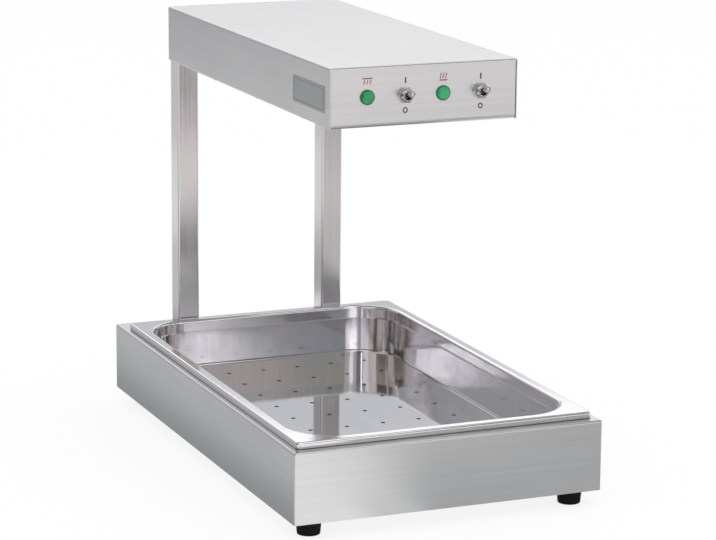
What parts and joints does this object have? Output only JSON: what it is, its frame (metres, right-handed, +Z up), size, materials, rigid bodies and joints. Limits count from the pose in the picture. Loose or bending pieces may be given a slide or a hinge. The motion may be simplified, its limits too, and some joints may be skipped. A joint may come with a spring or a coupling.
{
  "type": "fry warmer",
  "caption": "Countertop fry warmer: heated stainless base with a lift-out perforated pan under an infrared hood on posts, with toggle switches and lamps on its front.",
  "frame": {"origin": "on the table, under the middle of the whole outline", "axes": "+X to the right seen from the front, +Y to the back, where the posts stand, +Z up"},
  "size_m": [0.339, 0.5886, 0.458],
  "materials": {
    "casing_steel": "fine brushed stainless",
    "panel_steel": "satin silver",
    "post_steel": "brushed stainless tube",
    "pan_steel": "bright drawn stainless",
    "insert_steel": "smooth stainless",
    "foot_rubber": "black, matt",
    "screw_steel": "bright stainless",
    "heater_aluminium": "bright sheet",
    "element_sheath": "dark oxidised sheath",
    "bracket_steel": "plain steel",
    "guard_wire": "bright wire",
    "insulation_wool": "felted mineral fibre",
    "cutout_plastic": "dark moulded",
    "block_ceramic": "unglazed",
    "emitter_ceramic": "white glaze",
    "cable_jacket": "black silicone jacket",
    "gland_plastic": "black moulded",
    "gland_rubber": "black, matt",
    "lamp_green": "clear green moulded",
    "lamp_plastic": "black moulded",
    "switch_chrome": "bright plated",
    "switch_plastic": "black moulded",
    "plate_foil": "matt foil plate, bare"
  },
  "bodies": {
    "base": {"base_shell": "casing_steel", "hood_cover": "casing_steel", "hood_back": "casing_steel", "hood_floor": "casing_steel", "base_floor": "casing_steel", "control_panel": "panel_steel", "post_left": "post_steel", "post_right": "post_steel", "foot_front_left": "foot_rubber", "foot_front_right": "foot_rubber", "foot_rear_left": "foot_rubber", "foot_rear_right": "foot_rubber", "floor_screws": "screw_steel", "foot_screws": "screw_steel", "spacer_screws": "screw_steel", "clamp_screws": "screw_steel", "post_screws": "screw_steel", "hood_screws": "screw_steel", "reflector_screws": "screw_steel", "spreader_plate": "heater_aluminium", "reflector": "heater_aluminium", "base_element": "element_sheath", "element_clamps": "bracket_steel", "plate_spacers": "bracket_steel", "emitter_clip": "bracket_steel", "heater_guard": "guard_wire", "insulation_mat": "insulation_wool", "thermal_cutout": "cutout_plastic", "base_terminal_block": "block_ceramic", "hood_terminal_block": "block_ceramic", "infrared_emitter": "emitter_ceramic", "riser_cable": "cable_jacket", "control_loom": "cable_jacket", "element_leads": "cable_jacket", "emitter_leads": "cable_jacket", "gland_body": "gland_plastic", "gland_cap": "gland_plastic", "gland_locknut": "gland_plastic", "gland_seal": "gland_rubber", "lamp_lens_left": "lamp_green", "lamp_lens_right": "lamp_green", "lamp_body_left": "lamp_plastic", "lamp_body_right": "lamp_plastic", "lamp_nut_left": "lamp_plastic", "lamp_nut_right": "lamp_plastic", "switch_bush_left": "switch_chrome", "switch_bush_right": "switch_chrome", "switch_nut_left": "switch_chrome", "switch_nut_right": "switch_chrome", "switch_pin_left": "switch_chrome", "switch_pin_right": "switch_chrome", "switch_case_left": "switch_plastic", "switch_case_right": "switch_plastic", "rating_plate": "plate_foil"},
    "pan": {"food_pan": "pan_steel"},
    "insert": {"drain_insert": "insert_steel"},
    "toggle_left": {"switch_lever_left": "switch_chrome"},
    "toggle_right": {"switch_lever_right": "switch_chrome"}
  },
  "joints": [
    {"name": "toggle_left_tilt", "type": "hinge", "parent": "base", "child": "toggle_left", "pos_m": [-0.02067, -0.21845, 0.4267], "axis": [1, 0, 0], "range_deg": [0, 28]},
    {"name": "toggle_right_tilt", "type": "hinge", "parent": "base", "child": "toggle_right", "pos_m": [0.06202, -0.21845, 0.4267], "axis": [1, 0, 0], "range_deg": [0, 28]},
    {"name": "pan_lift", "type": "slide", "parent": "base", "child": "pan", "axis": [0, 0, 1], "range_m": [0, 0.12]},
    {"name": "insert_lift", "type": "slide", "parent": "pan", "child": "insert", "axis": [0, 0, 1], "range_m": [0, 0.12]}
  ]
}
